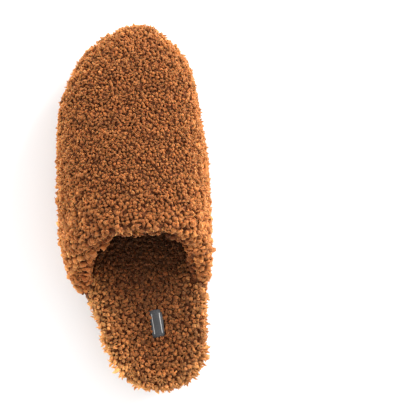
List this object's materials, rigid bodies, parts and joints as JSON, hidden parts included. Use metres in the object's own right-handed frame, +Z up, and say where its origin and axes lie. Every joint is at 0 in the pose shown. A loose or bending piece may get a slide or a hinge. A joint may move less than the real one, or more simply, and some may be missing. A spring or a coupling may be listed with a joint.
{
  "type": "house slipper",
  "caption": "Fluffy mule slipper for the left foot: curly wool vamp with a closed toe, open heel, wool footbed and a flat flexible sole.",
  "frame": {"origin": "centre of the slipper's bounding box, on the ground under the outsole", "axes": "+Y from the heel to the toe, +Z up, +X to the inner (big-toe) side"},
  "size_m": [0.115, 0.2766, 0.088],
  "materials": {
    "outsole_rubber": "matte, fine grain",
    "midsole_foam": "matte foam",
    "filler_felt": "felt",
    "insole_board": "fibre board",
    "cushion_foam": "open-cell foam",
    "footbed_wool": "curly wool",
    "outer_wool": "curly wool",
    "lining_wool": "curly wool",
    "toe_puff_sheet": "matte sheet",
    "topline_tape": "woven cotton",
    "topline_thread": "thread",
    "label_cloth": "woven",
    "label_thread": "thread"
  },
  "bodies": {
    "root": {"outsole": "outsole_rubber", "midsole_foam": "midsole_foam", "bottom_filler": "filler_felt", "insole_board": "insole_board", "footbed_cushion": "cushion_foam", "footbed_sheepskin": "footbed_wool", "upper_outer_sheepskin": "outer_wool", "upper_lining_sheepskin": "lining_wool", "toe_puff": "toe_puff_sheet", "topline_tape": "topline_tape", "topline_stitches": "topline_thread", "label_woven": "label_cloth", "label_stitches": "label_thread"}
  },
  "joints": []
}
